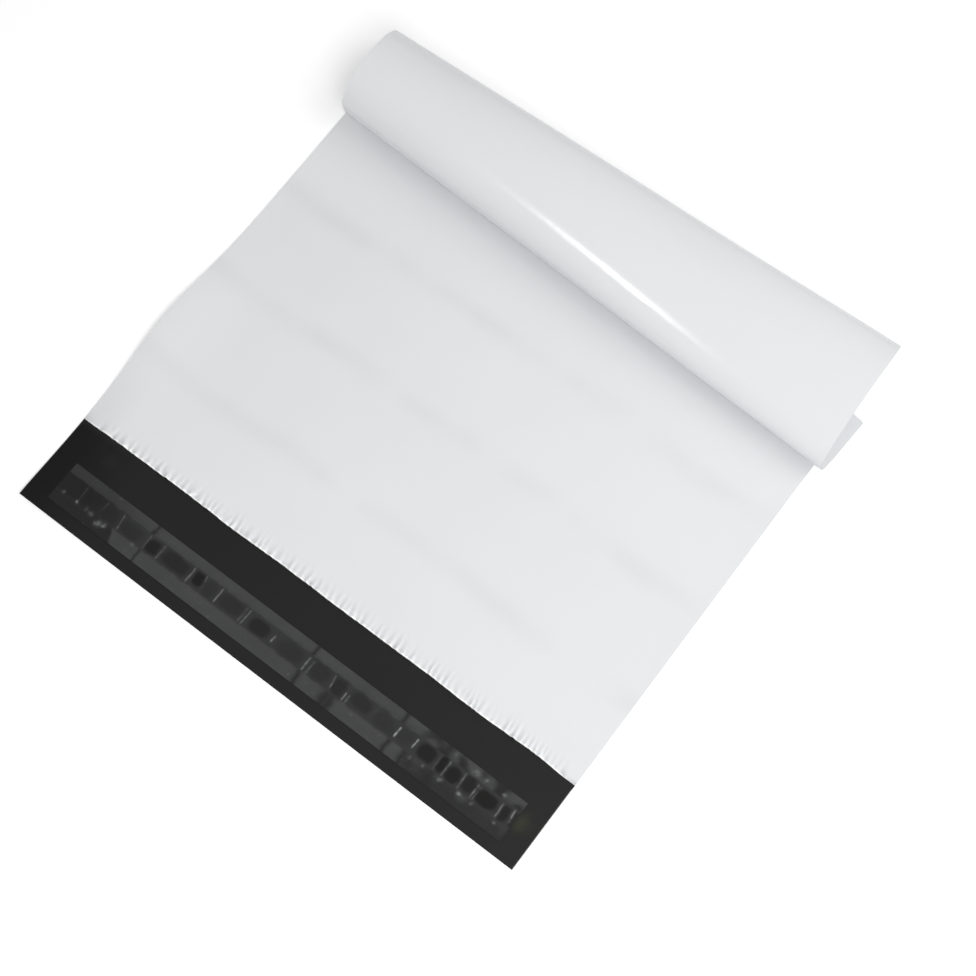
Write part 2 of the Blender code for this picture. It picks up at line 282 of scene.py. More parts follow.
class FilmShape:
    """Where each point of the film lies, from its place on the flat bag."""

    flap_rows = 14
    panel_rows = 62
    roll_rows = 116
    pouch_columns = 82
    fine_step = 6
    mouth_rows = (0.0, 0.0005, 0.001, 0.0016, 0.0023, 0.0031, 0.004, 0.0051, 0.0064, 0.008, 0.010)
    length_step = 0.002

    def __init__(self, settings):
        self.film = settings.film
        self.roll = settings.roll
        self.pucker = settings.pucker
        self.mouth = Vector((film_low.x + self.film.width / 2, film_low.y + self.film.flap, 0.0))
        half = self.film.width / 2
        self.weld_line = half - self.film.weld
        inner = [mix(-self.weld_line, self.weld_line, i / self.pouch_columns)
                 for i in range(self.pouch_columns + 1)]
        lip = half - self.film.lip
        self.columns = [-half, -lip, *inner, lip, half]
        fine = self.pouch_columns * self.fine_step
        self.fine_columns = [mix(-self.weld_line, self.weld_line, i / fine)
                             for i in range(fine + 1)]
        self.rows = self.row_places()
        self.flat_rows = len(self.rows)
        self.all_rows = self.flat_rows + self.roll_rows + 1
        self.turns = {}

    def row_places(self):
        """Distances from the mouth of the rows on the floor, closer together near the mouth."""
        film = self.film
        rows = [-film.flap + film.flap * i / self.flap_rows for i in range(self.flap_rows)]
        rows += list(self.mouth_rows)
        start = self.mouth_rows[-1]
        rows += [mix(start, film.lift_off, i / self.panel_rows) for i in range(1, self.panel_rows)]
        return rows

    def halves(self, x):
        """Half the width and half the height of the roll at one place along it."""
        part = x / self.film.width + 0.5
        width = mix(self.roll.left_width, self.roll.right_width, part)
        height = mix(self.roll.left_height, self.roll.right_height, part)
        return width / 2, height / 2

    def roll_point(self, halves, turn):
        """Outside of the film after it has turned by an angle round the roll."""
        half_width, half_height = halves
        inset = self.roll.turn_spacing * turn / (2 * math.pi)
        sag = 0.0
        if 1.5 * math.pi < turn < 2 * math.pi:
            sag = self.roll.sag * math.sin(2 * turn) ** 2
        y = self.film.lift_off + (half_width - inset) * (math.sin(turn) - sag)
        z = half_height - (half_height - inset) * (math.cos(turn) + sag)
        return y, z

    def last_turn(self, x):
        """The angle at which the rolled length of film is used up."""
        if x not in self.turns:
            halves = self.halves(x)
            left = self.film.depth - self.film.lift_off
            turn = 0.0
            here = self.roll_point(halves, turn)
            while left > 0:
                turn += self.length_step
                there = self.roll_point(halves, turn)
                left -= math.dist(here, there)
                here = there
            self.turns[x] = turn
        return self.turns[x]

    def lie(self, x, along):
        """How far the whole bag lifts off the floor where it is flat."""
        film = self.film
        left = -film.width / 2
        side = film.side_lift * bell(x, left, 0.016) * bell(along, film.side_place, 0.034)
        corner = film.corner_lift * bell(x, left, 0.022) * bell(along, -film.flap, 0.020)
        edge = film.edge_lift * ease(-along / film.flap)
        edge *= 0.5 + 0.5 * uneven(x, along, 0.045, 3.0)
        return max(side + corner + edge, 0.0) * ease((film.lift_off - along) / 0.05)

    def bulge(self, x, along):
        """How far the left edge strays outwards where it lifts."""
        film = self.film
        near = bell(x, -film.width / 2, 0.025) * bell(along, film.side_place, 0.026)
        return -film.side_bulge * near

    def ruffle(self, x, along):
        """The fine creases on the mouth's edge: their wave (about -1 to 1) and their strength."""
        pucker = self.pucker
        part = x / self.film.width + 0.5
        reach = mix(pucker.short, pucker.tall, part) * (1 + 0.9 * uneven(x, 0.0, 0.0045, 5.0))
        reach = min(reach, self.mouth_rows[-2] / 1.7)
        if along > 1.7 * reach:
            return 0.0, 0.0
        travel = part * self.film.width + pucker.lean * along
        travel += 0.0012 * uneven(x, along, 0.006, 19.0)
        tighter = (1 / pucker.pitch_right - 1 / pucker.pitch_left) / (2 * self.film.width)
        phase = travel / pucker.pitch_left + travel * travel * tighter
        wave = math.cos(2 * math.pi * (phase + 0.9 * uneven(x, 0.0, 0.012, 7.0)))
        wave = 0.62 * wave + 1.0 * uneven(travel, 0.0, 0.0020, 20.0)
        wave += 1.7 * uneven(travel, along * 0.6, 0.0019, 21.0) * ease(1 - along / 0.004)
        grouped = ease(0.5 + 2.0 * uneven(x, 0.0, pucker.group / 2, 9.0))
        fade = (1 - along / (1.7 * reach)) ** 1.3
        return wave, fade * mix(mix(0.80, 0.35, part), 1.0, grouped)

    def creases(self, x, along):
        """Height of those creases."""
        wave, strength = self.ruffle(x, along)
        return self.pucker.height * max(0.0, wave + 0.45) * strength

    def painted_shade(self, x, along):
        """How much painted shade the film gets: in the hollows of the creases at the mouth, in
        bands along the steps, and as a painted shadow at the left edge near the mouth.
        """
        wave, strength = self.ruffle(x, along)
        step, step_number = self.nearest_step(x, along)
        band = bell(step * self.film.swell_pitch, 0.0, self.film.band_half)
        patchy = uneven(x, 0.0, 0.040, 25.0 + step_number) + 0.6 * uneven(x, along, 0.013, 28.0)
        amount = mix(0.95, 0.45, x / self.film.width + 0.5) + 1.1 * patchy
        band *= self.film.band * max(0.0, amount)
        band *= ease(along / 0.030) * ease((self.film.lift_off - along) / 0.040)
        # Painted shadow where the left edge near the mouth curves down
        edge = 0.28 * ease((-0.108 - x) / 0.016) * ease(1 - along / 0.045)
        return min(1.0, band + edge + self.pucker.painted_shade * max(0.0, -wave) * strength)

    def nearest_step(self, x, along):
        """Distance to the nearest step across the panel, in pitches, and that step's number."""
        stray = 0.0030 * uneven(x, 0.0, 0.060, 24.0)
        step = (along + stray - self.film.swell_start) / self.film.swell_pitch
        return step - round(step), round(step)

    def cut(self, x, along):
        """How far the front film's cut edge strays from a straight line."""
        inside = ease((self.weld_line - abs(x)) / 0.012)
        stray = uneven(x, 0.0, 0.031, 22.0) + 0.4 * uneven(x, 0.0, 0.009, 23.0)
        return (self.pucker.wave * max(0.0, 0.6 + stray) * inside
                * ease(1 - along / self.mouth_rows[-1]))

    def gap(self, x, along):
        """How far the front film stands off the back one, between the welds."""
        film = self.film
        part = (x + self.weld_line) / (2 * self.weld_line)
        across = math.sin(math.pi * min(max(part, 0.0), 1.0))
        if along >= film.lift_off:
            return film.rolled_gap * across
        to_middle = ease(along / (film.lift_off * 0.35))
        to_roll = ease((film.lift_off - film.dip_end - along) / film.dip)
        step, step_number = self.nearest_step(x, along)
        swell = film.swell * (2 * step - math.tanh(step / film.swell_width))
        swell *= 0.9 + 1.1 * uneven(x, 0.0, 0.050, 25.0 + step_number)
        ripple = film.ripple * (uneven(x * 0.35, along, film.ripple_size, 1.0)
                                + 0.5 * uneven(x * 0.7, along, film.ripple_size * 0.4, 2.0))
        swollen = 1 + 0.5 * bell(along, film.lift_off - film.dip_end - film.dip, film.dip)
        rise = (film.rise * swollen + swell + ripple) * to_middle * to_roll
        base = mix(film.rolled_gap, film.mouth_gap, to_roll)
        near_weld = ease(min(part, 1 - part) * 40)
        slope = self.pucker.slope * ease(along / self.pucker.slope_reach) * to_roll
        return (base + rise + slope) * across + self.creases(x, along) * near_weld

    def point(self, x, row, offset):
        """A point of the film, at an offset inwards from its outside."""
        if row < self.flat_rows:
            along = self.rows[row]
            place = Vector((x + self.bulge(x, along), along, self.lie(x, along) + offset))
            return self.mouth + place
        turned = (row - self.flat_rows) / self.roll_rows
        halves = self.halves(x)
        turn = self.last_turn(x) * turned
        before = self.roll_point(halves, turn - self.length_step)
        after = self.roll_point(halves, turn + self.length_step)
        step = math.dist(before, after)
        inward = ((before[1] - after[1]) / step, (after[0] - before[0]) / step)
        if turned == 0:
            inward = (0.0, 1.0)
        y, z = self.roll_point(halves, turn)
        away = ease(turned * 6)
        length_turned = turned * (self.film.depth - self.film.lift_off)
        dent = self.roll.dent * away * uneven(x * 0.45, length_turned, self.roll.dent_size, 4.0)
        offset += dent
        x += self.roll.end_drift * turned * turned
        return self.mouth + Vector((x, y + inward[0] * offset, z + inward[1] * offset))

    def distance(self, row):
        """How far a row lies from the mouth, along the film."""
        if row < self.flat_rows:
            return self.rows[row]
        turned = (row - self.flat_rows) / self.roll_rows
        return mix(self.film.lift_off, self.film.depth, turned)


def build_film(settings, materials):
    """One closed mesh: back panel, flap, front panel and the pocket between them."""
    shape = FilmShape(settings)
    gauge = settings.film.gauge
    mesh = bmesh.new()
    # Cut edges and smudges, and the painted highlight along the mouth
    edge_marks_and_highlight = mesh.verts.layers.float.new("edge_marks_and_highlight")
    # Painted shade, as a share of the darker tone
    painted_shade = mesh.verts.layers.float.new("painted_shade")
    stain = mesh.verts.layers.float.new("stain")
    columns = shape.columns
    band = 2
    last = len(columns) - 1
    pouch = slice(band, last + 1 - band)
    mouth = shape.flap_rows
    fine_rows = len(shape.mouth_rows) - 1
    pocket_end = shape.all_rows - 2

    def vertex(x, row, offset):
        return mesh.verts.new(shape.point(x, row, offset))

    def front_vertex(x, row, offset):
        """The front film's own vertices follow its cut edge."""
        place = shape.point(x, row, offset + opening(x, row))
        if row < mouth + fine_rows:
            place.y += shape.cut(x, shape.distance(row))
        vertex = mesh.verts.new(place)
        # Painted shade on the front film
        if row < shape.flat_rows:
            vertex[painted_shade] = shape.painted_shade(x, shape.distance(row))
        return vertex

    def opening(x, row):
        if abs(x) >= shape.weld_line or row >= pocket_end:
            return 0.0
        return max(shape.gap(x, shape.distance(row)), 0.0)

    outside = [[vertex(x, r, 0.0) for x in columns] for r in range(shape.all_rows)]
    flap = [[vertex(x, r, gauge) for x in columns] for r in range(mouth + 1)]
    back = [flap[mouth][pouch]]
    back += [[vertex(x, r, gauge) for x in columns[pouch]]
             for r in range(mouth + 1, pocket_end + 1)]

    front, lining = [], []
    for r in range(mouth, shape.all_rows):
        inner = shape.fine_columns if r < mouth + fine_rows else columns[pouch]
        places = [*columns[:band], *inner, *columns[last + 1 - band:]]
        front.append([front_vertex(x, r, 2 * gauge) for x in places])
        if r < pocket_end:
            back_row = back[r - mouth]
            row = [front_vertex(x, r, gauge) for x in inner[1:-1]]
            lining.append([back_row[0], *row, back_row[-1]])
    lining.append(back[-1])

    pave(mesh, outside, OUTSIDE)
    pave(mesh, flap, INSIDE)
    pave(mesh, back, INSIDE)
    pave(mesh, lining[:fine_rows], INSIDE)
    pave_wider(mesh, lining[fine_rows - 1], lining[fine_rows], shape.fine_step, INSIDE)
    pave(mesh, lining[fine_rows:], INSIDE)
    pave(mesh, front[:fine_rows], OUTSIDE)
    fine, coarse = front[fine_rows - 1], front[fine_rows]
    pave_wider(mesh, fine[band:-band], coarse[band:-band], shape.fine_step, OUTSIDE)
    pave(mesh, [fine[:band + 1], coarse[:band + 1]], OUTSIDE)
    pave(mesh, [fine[-band - 1:], coarse[-band - 1:]], OUTSIDE)
    pave(mesh, front[fine_rows:], OUTSIDE)

    mouth_line = [*flap[mouth][:band], *lining[0], *flap[mouth][last + 1 - band:]]
    close_edge(mesh, outside[0], flap[0], INSIDE)
    close_edge(mesh, mouth_line, front[0], OUTSIDE)
    close_edge(mesh, outside[-1], front[-1], OUTSIDE)
    for end in (0, -1):
        close_edge(mesh, [row[end] for row in outside[:mouth + 1]], [row[end] for row in flap],
                   INSIDE)
        close_edge(mesh, [row[end] for row in outside[mouth + 1:]], [row[end] for row in front[1:]],
                   OUTSIDE)
        mesh.faces.new((outside[mouth][end], outside[mouth + 1][end], front[1][end],
                        front[0][end], flap[mouth][end]))

    # A painted highlight runs along the front film's cut edge at the mouth, and white shows where
    # the flap's edge turns up. Painted shade darkens the flap towards its left end, and the flap is
    # marked in a few places
    for vertex in [*front[0], *front[1]]:
        vertex[edge_marks_and_highlight] = 1.0
    for row in flap[:mouth]:
        row[0][edge_marks_and_highlight], row[-1][edge_marks_and_highlight] = 0.25, 1.0
        for vertex in row[1:-1]:
            place = vertex.co - shape.mouth
            vertex[painted_shade] = ease((-0.088 - place.x) / 0.036)
            vertex[stain] = 1.6 * max(0.0, oval(place, STAIN_PLACE, STAIN_REACH) - 0.2)
            vertex[edge_marks_and_highlight] = sum(strength * oval(place, middle, reach)
                                   for middle, reach, strength in SMUDGES)
    return bare_mesh_object("film_bag", mesh, materials)


# The glue and its liner

# The creases that stand on the liner, from left to right: place along the mouth from its middle,
# brightness (it sets the crease's height and its painted highlight), lower and upper end across the
# glue (-1 and 1 are its edges), slant, distance to a second line beside it, and how dark the patch
# of touched glue is that follows, where the painted reflection is weakest
LINER_CREASES = (
    (-0.1055, 0.14, -1.0, 1.0, -0.06, 0.0, 0.20),
    (-0.0950, 0.10, -0.4, 1.0, 0.10, 0.0, 0.25),
    (-0.0855, 0.30, -1.0, 1.0, -0.12, 0.0, 0.35),
    (-0.0715, 0.16, -1.0, 1.0, 0.00, 0.0, 0.85),
    (-0.0642, 0.30, -1.0, 1.0, 0.03, 0.0, 0.60),
    (-0.0484, 0.52, -1.0, 1.0, 0.03, 0.0, 0.95),
    (-0.0414, 0.24, 0.2, 1.1, -0.25, 0.0, 0.30),
    (-0.0338, 0.60, -0.9, 1.0, 0.02, 0.0, 0.40),
    (-0.0193, 0.36, -1.0, 1.0, 0.05, -0.0015, 0.70),
    (-0.0047, 0.72, -0.6, 0.4, 0.05, 0.0, 0.30),
    (0.0121, 0.50, -1.0, 0.8, 0.02, 0.0024, 0.40),
    (0.0254, 0.42, -0.7, 0.9, -0.16, 0.0, 0.60),
    (0.0325, 0.66, -1.0, 0.2, 0.00, 0.0018, 0.50),
    (0.0462, 0.10, 0.0, 1.0, 0.10, 0.0, 0.25),
    (0.0583, 1.30, -0.7, 0.7, 0.04, 0.0, 0.25),
    (0.0667, 1.20, -0.5, 0.8, 0.05, 0.0, 0.90),
    (0.0782, 0.12, -1.0, 1.0, 0.00, 0.0, 1.00),
    (0.0825, 0.34, -1.0, 1.0, 0.02, 0.0, 0.95),
    (0.0904, 0.34, -1.0, 1.0, -0.05, 0.0, 0.80),
    (0.0967, 0.46, -1.0, 0.8, 0.04, 0.0013, 1.00),
    (0.1090, 0.44, -1.0, 0.9, -0.05, 0.0, 0.85),
    (0.1146, 0.66, -0.6, 1.0, -0.14, 0.0, 0.60),
)
# Where the margins' painted reflection gives way to dark: place, half the width, and which margin
# (0 for both)
LINER_BREAKS = (
    (-0.0716, 0.0007, 0), (0.0122, 0.0010, 0), (0.0576, 0.0011, 0), (0.0790, 0.0022, 0),
    (0.0262, 0.0024, -1), (0.0292, 0.0016, -1), (0.0655, 0.0013, -1),
)
# Painted glints at the ends of the creases: place, across the glue (in half widths), radius,
# brightness
LINER_PAINTED_GLINTS = (
    (-0.1130, -1.05, 0.0006, 0.10), (-0.1059, -1.05, 0.0006, 0.13), (-0.1003, -1.05, 0.0007, 0.07),
    (-0.0978, -1.10, 0.0008, 0.09), (-0.0926, -1.50, 0.0012, 0.13), (-0.0938, -1.75, 0.0008, 0.08),
    (-0.0905, -1.25, 0.0010, 0.12),
    (-0.0757, -1.10, 0.0008, 0.05), (0.0395, -1.40, 0.0006, 0.03), (0.0683, -1.20, 0.0007, 0.06),
    (0.0748, -1.20, 0.0006, 0.10), (0.0830, -1.15, 0.0008, 0.12), (0.0923, -1.15, 0.0007, 0.12),
    (0.0988, -1.20, 0.0006, 0.10), (0.1104, -1.30, 0.0006, 0.14), (0.0825, 1.70, 0.0009, 0.03),
    (0.0933, 1.45, 0.0013, 0.07), (0.0983, 1.45, 0.0006, 0.09), (0.1075, 1.40, 0.0007, 0.15),
)


class LinerPattern:
    """Where the liner sticks to the glue, and where it stands off it in creases."""

    def __init__(self, sizes):
        self.sizes = sizes
        self.creases = []
        for crease in LINER_CREASES:
            self.creases.append(dict(zip(("x", "bright", "low", "high", "slant", "double", "dark"),
                                         crease)))
        pick = random.Random(sizes.seed)
        for crease, following in zip(self.creases, self.creases[1:] + [{"x": 0.1200}]):
            width = following["x"] - crease["x"]
            crease["patch_middle"] = crease["x"] + width * mix(0.42, 0.56, pick.random())
            crease["patch_half"] = width * mix(0.34, 0.44, pick.random())
            crease["patch_across"] = mix(-0.10, 0.14, pick.random())
            crease["patch_tall"] = mix(0.72, 0.92, pick.random())

    def columns(self, start, end, spacing):
        """Places for the mesh, closer together at the creases."""
        count = round((end - start) / spacing)
        places = [mix(start, end, i / count) for i in range(count + 1)]
        for crease in self.creases:
            for step in (-0.0009, -0.0006, -0.0004, -0.0002, 0.0, 0.0002, 0.0004, 0.0006, 0.0009):
                places.append(crease["x"] + step)
        places = sorted(place for place in places if start <= place <= end)
        kept = [places[0]]
        for place in places[1:]:
            if place - kept[-1] > 0.00012:
                kept.append(place)
        kept[-1] = end
        return kept

    def line(self, x, across):
        """Height of the creases, from 0 to the brightest one's 1.3."""
        best = 0.0
        level = across / self.sizes.wetted
        for crease in self.creases:
            if abs(x - crease["x"]) > 0.005:
                continue
            ends = ease((level - crease["low"]) / 0.3) * ease((crease["high"] - level) / 0.3)
            for shift in {0.0, crease["double"]}:
                place = crease["x"] + shift + crease["slant"] * across
                height = crease["bright"] * ends * (0.6 if shift else 1.0)
                best = max(best, height * bell(x, place, self.sizes.ridge_width / 2))
        return best

    def off_glue(self, across):
        """0 over the glue, 1 over the margins."""
        return ease((abs(across) - self.sizes.wetted) / 0.0007 + 0.5)

    def patch(self, x, across):
        """How closely the liner touches the glue here: dark, rounded patches."""
        closest = 0.0
        level = across / self.sizes.wetted
        for crease in self.creases:
            sideways = abs(x - crease["patch_middle"]) / crease["patch_half"]
            if sideways > 1.3:
                continue
            upright = abs(level - crease["patch_across"]) / crease["patch_tall"]
            inside = (sideways ** 3 + upright ** 3) ** (1 / 3)
            closest = max(closest, crease["dark"] * ease((1.20 - inside) / 0.50))
        return closest

    def margin(self, x, across):
        """Painted reflection of the liner's two margins, which lie on air."""
        sizes = self.sizes
        level = mix(sizes.margin_reflection_left, sizes.margin_reflection, ease((x + 0.105) / 0.03))
        level += 0.0090 * uneven(x, across, 0.011, 11.0)
        level += 0.0050 * uneven(x, across, 0.004, 17.0)
        right = ease((x - 0.050) / 0.03)
        if across < 0:
            level = mix(sizes.clear, level, ease((x + 0.0885 + 0.4 * across) / 0.0012))
            patchy = ease(0.55 + 1.3 * uneven(x, across, 0.007, 14.0) - 0.6 * right)
            level *= mix(1.0, 0.35 + 0.65 * patchy, ease((x - 0.060) / 0.01))
        else:
            patchy = ease(0.62 + 1.5 * uneven(x, across, 0.006, 18.0))
            level *= mix(1.0, 0.25 + 0.75 * patchy, right)
            level *= mix(0.75, 1.0, ease((x + 0.100) / 0.04))
        for place, half, margin in LINER_BREAKS:
            if margin * across >= 0:
                level = mix(level, sizes.clear, 0.9 * bell(x, place, half))
        return level

    def painted_reflection_and_wear(self, x, across):
        """How much painted reflection the liner shows, from 0 to 1: over air and over lifted glue,
        painted highlights on the creases, painted glints at their ends, and a few worn specks.
        """
        sizes = self.sizes
        line = self.line(x + 0.0002 * uneven(x, across, 0.002, 15.0), across)
        x += 0.0007 * uneven(x, across, 0.003, 15.0)
        across += 0.0006 * uneven(x, across, 0.004, 16.0)
        off = self.off_glue(across)
        lifted = sizes.lifted + 0.0060 * uneven(x, across, 0.009, 12.0)
        left = ease((x + 0.105) / 0.03)
        over_glue = mix(lifted * mix(0.3, 1.0, left), sizes.touched, self.patch(x, across))
        # Painted highlight along each crease
        line = line ** 1.1 * sizes.crease_highlight * (1 - 0.85 * off)
        line *= 0.9 + 1.1 * uneven(x, across, 0.0018, 26.0)
        # Painted glints
        painted_glint = 0.0
        for place, level, radius, bright in LINER_PAINTED_GLINTS:
            if abs(x - place) < 3 * radius:
                spot = bell(x, place, radius) * bell(across, level * sizes.wetted, radius)
                painted_glint = max(painted_glint, bright * spot)
        painted_glint *= 1.3 + 1.8 * uneven(x, across, 0.0013, 27.0)
        worn = 0.15 * max(0.0, uneven(x, across, 0.0012, 13.0) - 0.55) * off
        return min(1.0, mix(over_glue, self.margin(x, across), off) + line + painted_glint + worn)


def build_liner(settings, materials):
    """A clear film, raised over the glue, with creases across it and the painted reflection of each
    place.
    """
    sizes = settings.liner
    shape = FilmShape(settings)
    pattern = LinerPattern(sizes)
    mesh = bmesh.new()
    painted_reflection_and_wear = mesh.verts.layers.float.new("painted_reflection_and_wear")
    middle = (glue_high.y + glue_low.y) / 2
    floor = liner_low.z
    raised = glue_high.z - floor + sizes.seat
    middle_x = shape.mouth.x
    columns = pattern.columns(liner_low.x - middle_x, liner_high.x - middle_x, spacing=0.0006)
    rows = 40

    def skin(thickness):
        grid = []
        for j in range(rows + 1):
            y = mix(liner_low.y, liner_high.y, j / rows)
            across = y - middle
            off = ease((abs(across) - (glue_high.y - middle)) / 0.0012)
            line = []
            for x in columns:
                lift = shape.lie(x, y - shape.mouth.y)
                crease = sizes.ridge * min(1.0, pattern.line(x, across))
                crease *= 1 - pattern.off_glue(across)
                vertex = mesh.verts.new((middle_x + x, y, floor + lift + raised * (1 - off)
                                         + crease + thickness))
                vertex[painted_reflection_and_wear] = pattern.painted_reflection_and_wear(x, across)
                line.append(vertex)
            grid.append(line)
        return grid

    lower, upper = skin(0.0), skin(sizes.gauge)
    for grid in (lower, upper):
        pave(mesh, grid, 0)
    for end in (0, -1):
        close_edge(mesh, lower[end], upper[end], 0)
        close_edge(mesh, [row[end] for row in lower], [row[end] for row in upper], 0)
    return bare_mesh_object("liner_film", mesh, materials)


def build_glue(settings, materials):
    """A ribbon of glue with soft, slightly wandering edges, as it leaves the nozzle."""
    shape = FilmShape(settings)
    bpy.ops.object.select_all(action="DESELECT")
    size = glue_high - glue_low
    middle = (glue_high + glue_low) / 2
    bpy.ops.mesh.primitive_grid_add(x_subdivisions=240, y_subdivisions=10, size=1.0,
                                    location=(middle.x, middle.y, glue_low.z))
    piece = bpy.context.object
    piece.name = "glue_ribbon"
    piece.scale = (size.x, size.y, 1.0)
    bpy.ops.object.transform_apply(location=True, rotation=False, scale=True)
    bpy.ops.object.mode_set(mode="EDIT")
    bpy.ops.mesh.select_all(action="SELECT")
    bpy.ops.mesh.extrude_region_move(TRANSFORM_OT_translate={"value": (0, 0, size.z)})
    bpy.ops.mesh.select_all(action="SELECT")
    bpy.ops.mesh.normals_make_consistent(inside=False)
    bpy.ops.object.mode_set(mode="OBJECT")
    half = size.y / 2
    for vertex in piece.data.vertices:
        point = vertex.co
        across = (point.y - middle.y) / half
        wander = 1 - 0.05 * (1 + uneven(point.x, 0.0, 0.012, 6.0 + math.copysign(1, across)))
        point.y = middle.y + across * half * wander
        if point.z > middle.z:
            crown = math.sqrt(max(0.0, 1 - 0.8 * across * across))
            point.z = glue_low.z + size.z * crown
        point.z += shape.lie(point.x - shape.mouth.x, point.y - shape.mouth.y)
    bpy.ops.object.shade_smooth_by_angle(angle=math.radians(50))
    for material in materials:
        piece.data.materials.append(material)
    return piece


# Finishes

def new_node(tree, kind, place, **values):
    """Add a node and set its named inputs and properties."""
    node = tree.nodes.new(kind)
    node.location = place
    for name, value in values.items():
        label = name.replace("_", " ").title()
        if label in node.inputs:
            node.inputs[label].default_value = value
        else:
            setattr(node, name, value)
    return node


def film_relief_group():
    """Shared by every film: the fine orange-peel of blown film, and its faint scuffs."""
    group = bpy.data.node_groups.new("film_relief", "ShaderNodeTree")
    for name, value in (("Peel Size", 0.0022), ("Scuff Size", 0.012), ("Wear", 0.5)):
        socket = group.interface.new_socket(name, in_out="INPUT", socket_type="NodeSocketFloat")
        socket.default_value = value
    for name in ("Height", "Scuffs", "Cloud"):
        group.interface.new_socket(name, in_out="OUTPUT", socket_type="NodeSocketFloat")
    start = new_node(group, "NodeGroupInput", (-900, 0))
    end = new_node(group, "NodeGroupOutput", (500, 0))
    where = new_node(group, "ShaderNodeTexCoord", (-900, -300))

    def scaled_noise(size_socket, place, detail, roughness, stretch=(1, 1, 1)):
        """Noise whose features have the size that a socket gives."""
        inverse = new_node(group, "ShaderNodeMath", (place[0] - 400, place[1]),
                           operation="DIVIDE")
        inverse.inputs[0].default_value = 1.0
        group.links.new(size_socket, inverse.inputs[1])
        turn = new_node(group, "ShaderNodeMapping", (place[0] - 200, place[1] - 150))
        turn.inputs["Scale"].default_value = stretch
        group.links.new(where.outputs["Object"], turn.inputs["Vector"])
        pattern = new_node(group, "ShaderNodeTexNoise", place, detail=detail, roughness=roughness)
        group.links.new(turn.outputs["Vector"], pattern.inputs["Vector"])
        group.links.new(inverse.outputs[0], pattern.inputs["Scale"])
        return pattern.outputs["Fac"]

    peel = scaled_noise(start.outputs["Peel Size"], (-200, 200), 2.0, 0.45)
    scuffs = scaled_noise(start.outputs["Scuff Size"], (-200, -100), 6.0, 0.62, (1.0, 0.25, 1.0))
    cloud_size = new_node(group, "ShaderNodeMath", (-700, -500), operation="MULTIPLY")
    cloud_size.inputs[1].default_value = 3.5
    group.links.new(start.outputs["Scuff Size"], cloud_size.inputs[0])
    cloud = scaled_noise(cloud_size.outputs[0], (-200, -400), 3.0, 0.5, (0.4, 1.0, 1.0))
    band = new_node(group, "ShaderNodeMapRange", (60, -100), from_min=0.56, from_max=0.78)
    group.links.new(scuffs, band.inputs["Value"])
    worn = new_node(group, "ShaderNodeMath", (260, -100), operation="MULTIPLY")
    group.links.new(band.outputs["Result"], worn.inputs[0])
    group.links.new(start.outputs["Wear"], worn.inputs[1])
    group.links.new(peel, end.inputs["Height"])
    group.links.new(worn.outputs[0], end.inputs["Scuffs"])
    group.links.new(cloud, end.inputs["Cloud"])
    return group


def overlay(tree, shader, attribute, tone, place):
    """Lay a colour over the shader's own, as far as a vertex attribute says."""
    amount = new_node(tree, "ShaderNodeAttribute", (place[0] - 200, place[1] + 250),
                      attribute_name=attribute)
    both = new_node(tree, "ShaderNodeMix", place, data_type="RGBA")
    both.inputs["B"].default_value = (*tone, 1.0)
    tree.links.new(amount.outputs["Fac"], both.inputs["Factor"])
    tree.links.new(shader.inputs["Base Color"].links[0].from_socket, both.inputs["A"])
    tree.links.new(both.outputs["Result"], shader.inputs["Base Color"])


def film_material(name, base, roughness, relief, gloss, peel, wear, tint, edge=None, painted_shade=1.0):
    """Blown film of one colour, with its relief, scuffs, cloudiness, glue stains and the colour of
    its cuts, with a painted highlight along the mouth and painted shade.
    """
    material = bpy.data.materials.new(name)
    material.use_nodes = True
    tree = material.node_tree
    shader = tree.nodes["Principled BSDF"]
    shader.inputs["Metallic"].default_value = 0.0
    shader.inputs["IOR"].default_value = 1.5
    shader.inputs["Specular IOR Level"].default_value = gloss
    surface = new_node(tree, "ShaderNodeGroup", (-900, 0))
    surface.node_tree = relief
    surface.inputs["Peel Size"].default_value = peel
    surface.inputs["Wear"].default_value = wear
    shade = new_node(tree, "ShaderNodeMix", (-500, 200), data_type="RGBA")
    shade.inputs["A"].default_value = (*base, 1.0)
    shade.inputs["B"].default_value = (*[c * tint for c in base], 1.0)
    tree.links.new(surface.outputs["Cloud"], shade.inputs["Factor"])
    tree.links.new(shade.outputs["Result"], shader.inputs["Base Color"])
    if edge:
        # The cut colour (a painted highlight at the white film's mouth), the painted shade's tone
        # and the glue stain, each laid on as far as its vertex attribute says
        darker = [c * painted_shade for c in base]
        for attribute, tone, place in (("edge_marks_and_highlight", edge, (-250, 300)),
                                       ("painted_shade", darker, (-50, 400)),
                                       ("stain", GLUE_STAIN, (150, 500))):
            overlay(tree, shader, attribute, tone, place)
    rough = new_node(tree, "ShaderNodeMapRange", (-500, -100), to_min=roughness,
                     to_max=min(1.0, roughness + 0.22))
    tree.links.new(surface.outputs["Scuffs"], rough.inputs["Value"])
    tree.links.new(rough.outputs["Result"], shader.inputs["Roughness"])
    bump = new_node(tree, "ShaderNodeBump", (-250, -300), strength=0.35, distance=0.00008)
    tree.links.new(surface.outputs["Height"], bump.inputs["Height"])
    tree.links.new(bump.outputs["Normal"], shader.inputs["Normal"])
    return material, shader


